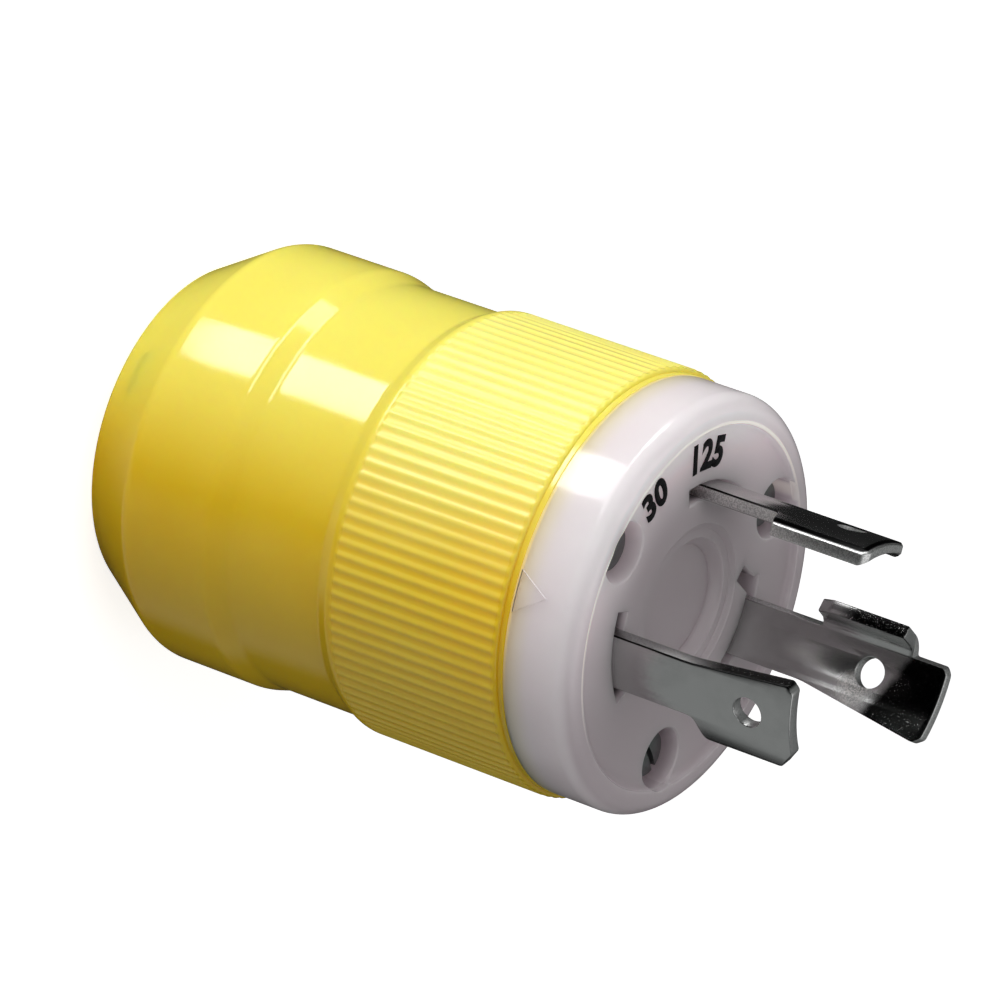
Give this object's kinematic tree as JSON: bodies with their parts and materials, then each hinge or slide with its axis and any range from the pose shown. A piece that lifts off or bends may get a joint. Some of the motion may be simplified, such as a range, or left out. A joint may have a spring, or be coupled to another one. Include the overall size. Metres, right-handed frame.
{
  "type": "locking power plug",
  "caption": "Three-blade twist-locking power plug with a ribbed round shell, translucent front body, curved formed blades, screw terminals and an inner cord clamp.",
  "frame": {"origin": "middle of the shell's rear face, where the plug stands", "axes": "+Z along the plug's axis from the cord end to the blades, +Y towards the ground blade"},
  "size_m": [0.0522, 0.0522, 0.0986],
  "materials": {
    "yellow_shell": "glossy moulded yellow",
    "front_nylon": "satin translucent grey-white nylon",
    "terminal_nylon": "satin translucent nylon",
    "plated_blade": "nickel plated, polished",
    "zinc_steel": "zinc plated",
    "dark_steel": "dark oiled steel",
    "brass": "turned brass",
    "green_screw": "green dyed plating",
    "black_rubber": "matt rubber",
    "clamp_nylon": "grey moulded nylon"
  },
  "bodies": {
    "root": {"front_body": "front_nylon", "terminal_body": "terminal_nylon", "ground_blade": "plated_blade", "hot_blade": "plated_blade", "neutral_blade": "plated_blade", "ground_clamp_plate": "zinc_steel", "hot_clamp_plate": "zinc_steel", "neutral_clamp_plate": "zinc_steel", "ground_terminal_screw": "green_screw", "hot_terminal_screw": "brass", "neutral_terminal_screw": "zinc_steel", "shell": "yellow_shell", "shell_inserts": "brass", "assembly_screws": "dark_steel", "cord_seal": "black_rubber", "cord_clamp_yoke": "clamp_nylon", "cord_clamp_jaw": "clamp_nylon", "clamp_screws": "zinc_steel", "clamp_nuts": "zinc_steel", "yoke_screws": "zinc_steel"}
  },
  "joints": []
}
